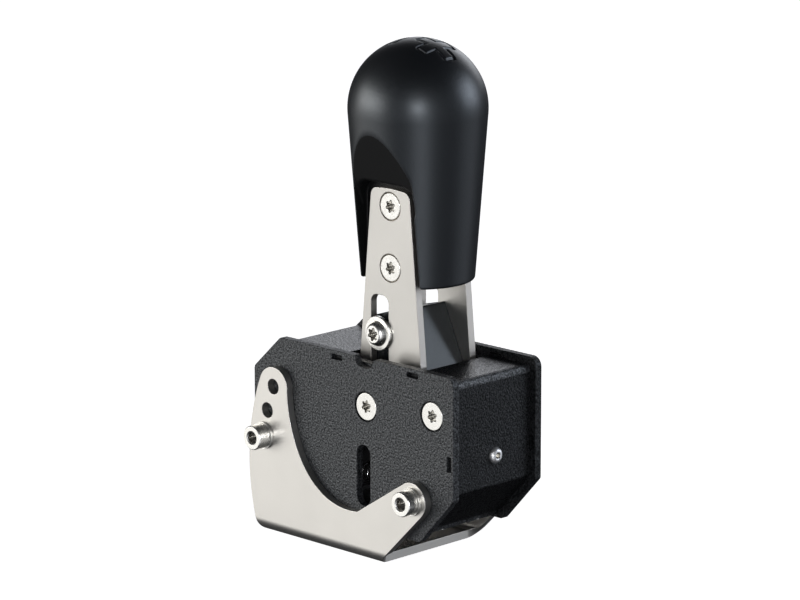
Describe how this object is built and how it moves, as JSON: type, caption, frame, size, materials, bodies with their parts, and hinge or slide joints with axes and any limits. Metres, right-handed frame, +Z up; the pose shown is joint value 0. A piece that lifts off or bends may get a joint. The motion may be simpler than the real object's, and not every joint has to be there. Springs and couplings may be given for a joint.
{
  "type": "sim racing gear shifter",
  "caption": "Sequential gear shifter: a knob on two steel arms, spring-centred in a black sheet-metal housing that tilts on a folded steel bracket.",
  "frame": {"origin": "middle of the base hole pattern on the mounting bracket's underside", "axes": "+Z up along the lever at rest, +X towards the tilt pivot end, Y across along the lever's and the housing's hinge axes; -Y is the side that the picture shows"},
  "size_m": [0.0994, 0.062, 0.1817],
  "materials": {
    "bracket_steel": "bead-blasted stainless sheet",
    "arm_steel": "fine-brushed stainless sheet",
    "screw_steel": "bright stainless",
    "nut_steel": "zinc-plated",
    "plate_black": "fine wrinkle powder coat",
    "cover_black": "fine wrinkle powder coat",
    "core_black": "satin",
    "shaft_steel": "ground",
    "spring_steel": "bright wire",
    "inner_black": "moulded",
    "rubber": "matte",
    "brass": "turned",
    "bronze": "sintered",
    "board": "solder resist",
    "chips": "moulded",
    "magnet": "nickel-plated",
    "knob_black": "soft satin",
    "lead": "satin"
  },
  "bodies": {
    "base": {"mounting_bracket": "bracket_steel", "angle_screws": "screw_steel", "angle_washers": "screw_steel", "angle_nuts": "nut_steel"},
    "housing": {"front_side_plate": "plate_black", "rear_side_plate": "plate_black", "top_cover": "cover_black", "right_end_cover": "cover_black", "left_end_cover": "cover_black", "bottom_cover": "cover_black", "pivot_bolts": "screw_steel", "pivot_washers": "screw_steel", "pivot_nuts": "nut_steel", "plate_screws": "screw_steel", "pivot_shaft": "shaft_steel", "spacer_sleeves": "inner_black", "spacer_post": "shaft_steel", "cover_screws": "screw_steel", "cover_standoffs": "brass", "spring_carrier": "inner_black", "carrier_screws": "screw_steel", "guide_rod": "shaft_steel", "bump_rubbers": "rubber", "left_spring": "spring_steel", "right_spring": "spring_steel", "sensor_board": "board", "board_parts": "chips", "board_screws": "screw_steel", "sensor_lead": "lead", "data_socket": "nut_steel"},
    "shuttle": {"shuttle": "inner_black", "shuttle_pins": "shaft_steel"},
    "lever": {"lever_core": "core_black", "pivot_bushings": "bronze", "slot_rings": "inner_black", "clamp_screws": "screw_steel", "sensor_magnet": "magnet"},
    "grip": {"front_arm": "arm_steel", "rear_arm": "arm_steel", "knob_screws": "screw_steel", "shift_knob": "knob_black", "knob_inserts": "brass"}
  },
  "joints": [
    {"name": "housing_tilt", "type": "hinge", "parent": "base", "child": "housing", "pos_m": [0.0473, 0, 0.02615], "axis": [0, 1, 0], "range_deg": [0, 14.9]},
    {"name": "lever_swing", "type": "hinge", "parent": "housing", "child": "lever", "pos_m": [0.0222, 0, 0.0546], "axis": [0, 1, 0], "range_deg": [-5, 5], "stiffness_Nm_per_rad": 20},
    {"name": "shuttle_slide", "type": "slide", "parent": "housing", "child": "shuttle", "axis": [1, 0, 0], "range_m": [-0.0028, 0.0028], "deforming": ["left_spring", "right_spring"]},
    {"name": "lever_height", "type": "slide", "parent": "lever", "child": "grip", "axis": [0, 0, 1], "range_m": [-0.007, 0.007]}
  ],
  "couplings": [
    {"joint": "shuttle_slide", "follows": "lever_swing", "m_per_rad": -0.0316}
  ]
}
